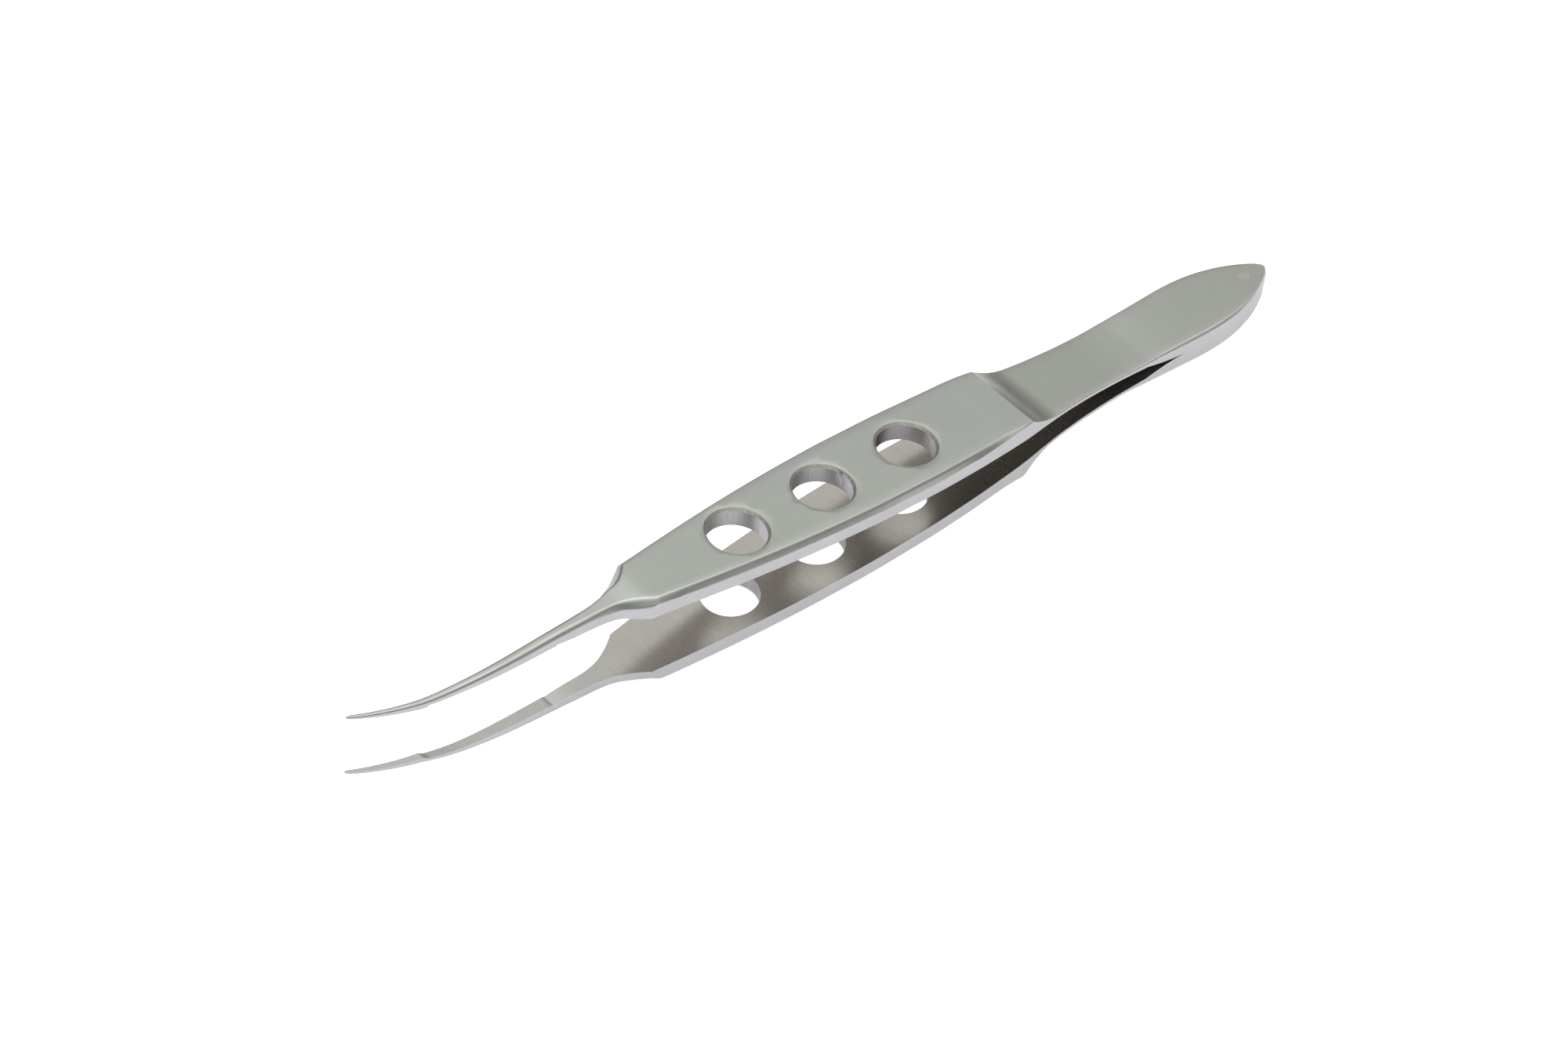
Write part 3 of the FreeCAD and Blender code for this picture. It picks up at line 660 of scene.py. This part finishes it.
def holes_tree():
    """Cuts a row of holes, each a bore with a flared rim, and one plain bore for the pin."""
    tree = bpy.data.node_groups.new("row_of_holes", "GeometryNodeTree")
    tree.interface.new_socket(name="Strip", in_out="INPUT", socket_type="NodeSocketGeometry")
    group_input(tree, "First Hole", "NodeSocketVector", (0.0, 0.0, 0.0))
    group_input(tree, "Hole Offset", "NodeSocketVector", (HOLE_PITCH * MM, 0.0, 0.0))
    group_input(tree, "Tilt", "NodeSocketVector", (0.0, 0.0, 0.0))
    group_input(tree, "Bore Radius", "NodeSocketFloat", HOLE_R * MM)
    group_input(tree, "Rim Radius", "NodeSocketFloat", HOLE_RIM_R * MM)
    group_input(tree, "Rim Depth", "NodeSocketFloat", HOLE_RIM_DEPTH * MM)
    group_input(tree, "Lip Radius", "NodeSocketFloat", HOLE_LIP_R * MM)
    group_input(tree, "Lip Depth", "NodeSocketFloat", HOLE_LIP_DEPTH * MM)
    group_input(tree, "Pin Place", "NodeSocketVector", (0.0, 0.0, 0.0))
    group_input(tree, "Pin Bore Radius", "NodeSocketFloat", PIN_BORE_R * MM)
    group_input(tree, "Finish", "NodeSocketMaterial", None)
    tree.interface.new_socket(name="Strip", in_out="OUTPUT", socket_type="NodeSocketGeometry")
    given = tree.nodes.new("NodeGroupInput")
    result = tree.nodes.new("NodeGroupOutput")

    bore = tree.nodes.new("GeometryNodeMeshCylinder")
    bore.inputs["Vertices"].default_value = HOLE_SIDES
    bore.inputs["Depth"].default_value = CUT_LENGTH * MM
    wire(tree, given.outputs["Bore Radius"], bore.inputs["Radius"])
    rim = flare(tree, given.outputs["Bore Radius"], given.outputs["Rim Radius"], given.outputs["Rim Depth"])
    lip = flare(tree, given.outputs["Rim Radius"], given.outputs["Lip Radius"], given.outputs["Lip Depth"])

    row = tree.nodes.new("GeometryNodeMeshLine")
    row.inputs["Count"].default_value = HOLE_COUNT
    wire(tree, given.outputs["First Hole"], row.inputs["Start Location"])
    wire(tree, given.outputs["Hole Offset"], row.inputs["Offset"])
    cut = given.outputs["Strip"]
    for cutter in (lip, rim, bore.outputs["Mesh"]):
        placed = tree.nodes.new("GeometryNodeInstanceOnPoints")
        wire(tree, row.outputs["Mesh"], placed.inputs["Points"])
        wire(tree, cutter, placed.inputs["Instance"])
        wire(tree, given.outputs["Tilt"], placed.inputs["Rotation"])
        cut = difference(tree, cut, placed.outputs["Instances"])
    pin_bore = tree.nodes.new("GeometryNodeMeshCylinder")
    pin_bore.inputs["Vertices"].default_value = HOLE_SIDES
    pin_bore.inputs["Depth"].default_value = CUT_LENGTH * MM
    wire(tree, given.outputs["Pin Bore Radius"], pin_bore.inputs["Radius"])
    pin_place = tree.nodes.new("GeometryNodeTransform")
    wire(tree, pin_bore.outputs["Mesh"], pin_place.inputs["Geometry"])
    wire(tree, given.outputs["Pin Place"], pin_place.inputs["Translation"])
    cut = difference(tree, cut, pin_place.outputs["Geometry"])

    real = tree.nodes.new("GeometryNodeRealizeInstances")
    wire(tree, cut, real.inputs["Geometry"])
    finish = tree.nodes.new("GeometryNodeSetMaterial")
    wire(tree, real.outputs["Geometry"], finish.inputs["Geometry"])
    wire(tree, given.outputs["Finish"], finish.inputs["Material"])
    wire(tree, finish.outputs["Geometry"], result.inputs["Strip"])
    return tree


def difference(tree, body, cutter):
    real = tree.nodes.new("GeometryNodeRealizeInstances")
    wire(tree, cutter, real.inputs["Geometry"])
    node = tree.nodes.new("GeometryNodeMeshBoolean")
    node.operation = "DIFFERENCE"
    node.solver = "EXACT"
    wire(tree, body, node.inputs["Mesh 1"])
    wire(tree, real.outputs["Geometry"], node.inputs["Mesh 2"])
    return node.outputs["Mesh"]


HOLES = holes_tree()


# faces get their finish by where they lie and by how far their normal leans towards z, or y for the edge
RIM_MARGIN = 0.02
RIM_LEAN = 0.93
BORE_LEAN = 0.4
INNER_LEAN = -0.6
WALL_LEAN = 0.35
EDGE_LEAN_Y = 0.3
OUTER_LEAN = 0.9


def finish_of(normal, centre, side):
    """Finish by place: hole rim and wall, jaw and inner face, side wall, bevel, tail or plate."""
    outward = normal.z * side
    for k in (-1, 0, 1):
        reach = math.hypot(centre.x - (PLATE_REF_X + k * HOLE_PITCH), centre.y)
        if reach < HOLE_RIM_R + RIM_MARGIN and abs(normal.z) < RIM_LEAN:
            return BORE if abs(normal.z) < BORE_LEAN else RIM
    # inner faces take the dark tone of painted shade between the arms
    if outward < INNER_LEAN:
        return INNER
    if abs(normal.z) < WALL_LEAN:
        return WALL
    if centre.x < SHOULDER_X:
        # the tail's side edges take the light tone of a painted highlight
        return EDGE if abs(normal.y) > EDGE_LEAN_Y else TAIL
    if centre.x > SHANK_FINISH_X:
        return SHANK
    return BEVEL if outward < OUTER_LEAN else OUTER


def paint_arm(obj, side):
    mesh = obj.data
    mesh.materials.clear()
    for mat in FINISHES:
        mesh.materials.append(mat)
    for face in mesh.polygons:
        face.material_index = FINISHES.index(finish_of(face.normal, face.center / MM, side))


def smooth(obj):
    mesh = obj.data
    for face in mesh.polygons:
        face.use_smooth = True
    mesh.set_sharp_from_angle(angle=CRISP_ANGLE)


def build_arm(name, side, nodes):
    obj = arm_mesh(name, side)
    cut_holes(obj, side)
    paint_arm(obj, side)
    smooth(obj)
    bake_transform(obj)
    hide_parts(*nodes)


build_arm("upper_arm_strip", 1, ["upper_arm", "upper_leaf_spring", "upper_tail_pad"])
build_arm("lower_arm_strip", -1, ["lower_arm", "lower_leaf_spring", "lower_tail_pad"])


def finish_node(name, mat):
    obj = frame["nodes"][name]
    obj.data.materials.clear()
    obj.data.materials.append(mat)


finish_node("tail_pin", PIN)
finish_node("tail_joint_bead", BEAD)


# surroundings: white to the camera; the steel sees a white ground, a dim horizon and a bright box overhead
SKY_STRENGTH = 1.25
SKY = [
    (-1.0, (0.79, 0.78, 0.80)), (-0.06, (0.75, 0.74, 0.77)), (0.02, (0.13, 0.12, 0.11)),
    (0.22, (0.155, 0.15, 0.14)), (0.42, (0.33, 0.33, 0.32)), (0.52, (0.45, 0.455, 0.44)),
    (0.68, (0.64, 0.66, 0.63)), (0.84, (0.98, 1.0, 0.97)), (1.0, (0.98, 1.0, 0.97))
]


def make_world():
    world = bpy.data.worlds.new("studio")
    bpy.context.scene.world = world
    world.use_nodes = True
    tree = world.node_tree
    tree.nodes.clear()
    out = tree.nodes.new("ShaderNodeOutputWorld")
    seen = tree.nodes.new("ShaderNodeBackground")
    seen.inputs[0].default_value = (1.0, 1.0, 1.0, 1.0)
    room = tree.nodes.new("ShaderNodeBackground")
    coords = tree.nodes.new("ShaderNodeTexCoord")
    split = tree.nodes.new("ShaderNodeSeparateXYZ")
    wire(tree, coords.outputs["Generated"], split.inputs[0])
    ramp = tree.nodes.new("ShaderNodeValToRGB")
    stops = ramp.color_ramp.elements
    while len(stops) < len(SKY):
        stops.new(0.5)
    for stop, (height, colour) in zip(stops, SKY):
        stop.position = 0.5 * (height + 1.0)
        stop.color = colour + (1.0,)
    wire(tree, spread_out(tree, split.outputs["Z"], -1.0, 1.0), ramp.inputs[0])
    wire(tree, ramp.outputs[0], room.inputs[0])
    room.inputs[1].default_value = SKY_STRENGTH
    light_path = tree.nodes.new("ShaderNodeLightPath")
    choose = tree.nodes.new("ShaderNodeMixShader")
    wire(tree, light_path.outputs["Is Camera Ray"], choose.inputs[0])
    wire(tree, room.outputs[0], choose.inputs[1])
    wire(tree, seen.outputs[0], choose.inputs[2])
    wire(tree, choose.outputs[0], out.inputs[0])


GROUND_GLOW = 0.28
GROUND_GLOW_SEEN = 0.82


def white_ground():
    """A white ground that takes the shadow; the camera sees it brighter, like a lit white table."""
    mat = bpy.data.materials.new("floor_white")
    mat.use_nodes = True
    tree = mat.node_tree
    tree.nodes.clear()
    out = tree.nodes.new("ShaderNodeOutputMaterial")
    glow = tree.nodes.new("ShaderNodeEmission")
    glow.inputs[0].default_value = (0.98, 0.97, 1.0, 1.0)
    light_path = tree.nodes.new("ShaderNodeLightPath")
    seen = math_node(tree, "MULTIPLY", light_path.outputs["Is Camera Ray"], GROUND_GLOW_SEEN - GROUND_GLOW)
    wire(tree, math_node(tree, "ADD", seen, GROUND_GLOW), glow.inputs[1])
    matte = tree.nodes.new("ShaderNodeBsdfDiffuse")
    matte.inputs[0].default_value = (0.8, 0.795, 0.81, 1.0)
    both = tree.nodes.new("ShaderNodeAddShader")
    wire(tree, glow.outputs[0], both.inputs[0])
    wire(tree, matte.outputs[0], both.inputs[1])
    wire(tree, both.outputs[0], out.inputs[0])
    return mat


FLOOR_HALF_SIZE = 0.9
FLOOR_GAP = 0.02


def make_floor():
    """A plain white ground in the plane of the lower finger plate's outer face."""
    front_z = -inner_plane_z(FRONT_CORNER_X) - PLATE_THICK
    front = Vector((FRONT_CORNER_X, 0.0, front_z)) * MM
    mesh = bpy.data.meshes.new("floor")
    corners = [Vector((a, b, 0)) * FLOOR_HALF_SIZE for a, b in ((-1, -1), (1, -1), (1, 1), (-1, 1))]
    mesh.from_pydata(corners, [], [(0, 1, 2, 3)])
    floor = bpy.data.objects.new("floor", mesh)
    bpy.context.scene.collection.objects.link(floor)
    floor.location = front - Vector((0, 0, FLOOR_GAP * MM))
    floor.rotation_euler = (0, math.atan(SLOPE), 0)
    mesh.materials.append(white_ground())


def area_light(name, place, target, size, power, tint):
    data = bpy.data.lights.new(name, "AREA")
    data.shape = "DISK"
    data.size = size
    data.energy = power
    data.color = tint
    obj = bpy.data.objects.new(name, data)
    bpy.context.scene.collection.objects.link(obj)
    obj.location = place
    obj.rotation_mode = "QUATERNION"
    obj.rotation_quaternion = (Vector(target) - Vector(place)).to_track_quat("-Z", "Y")


# the camera: azimuth counts from +Y towards +X, and the distance and the aim are in metres
AZIMUTH = math.radians(45.915)
ELEVATION = math.radians(44.226)
ROLL = math.radians(6.729)
DISTANCE = 0.38405
AIM = Vector((0.007803, -0.000024, 0.0024515))
FOCAL_PX = 5598.56
PHOTO_WIDTH_PX = 2000.0
SENSOR_WIDTH = 36.0


def make_camera():
    """The photograph's viewpoint."""
    back = Vector((math.cos(ELEVATION) * math.sin(AZIMUTH), math.cos(ELEVATION) * math.cos(AZIMUTH),
                   math.sin(ELEVATION)))
    level = (-back).cross(Vector((0, 0, 1))).normalized()
    upright = level.cross(-back)
    right = level * math.cos(ROLL) + upright * math.sin(ROLL)
    up = upright * math.cos(ROLL) - level * math.sin(ROLL)
    data = bpy.data.cameras.new("camera")
    data.sensor_width = SENSOR_WIDTH
    data.lens = SENSOR_WIDTH * FOCAL_PX / PHOTO_WIDTH_PX
    data.clip_start = 0.01
    data.clip_end = 10.0
    cam = bpy.data.objects.new("camera", data)
    bpy.context.scene.collection.objects.link(cam)
    turn = Matrix((right, up, back)).transposed().to_4x4()
    cam.matrix_world = Matrix.Translation(AIM + back * DISTANCE) @ turn
    bpy.context.scene.camera = cam


make_world()
make_floor()
make_camera()
area_light("soft_box", place=(-0.05, 0.10, 0.45), target=(0, 0, 0), size=0.30, power=0.12,
           tint=(0.98, 1.0, 0.98))
bpy.context.scene.view_settings.view_transform = "Standard"
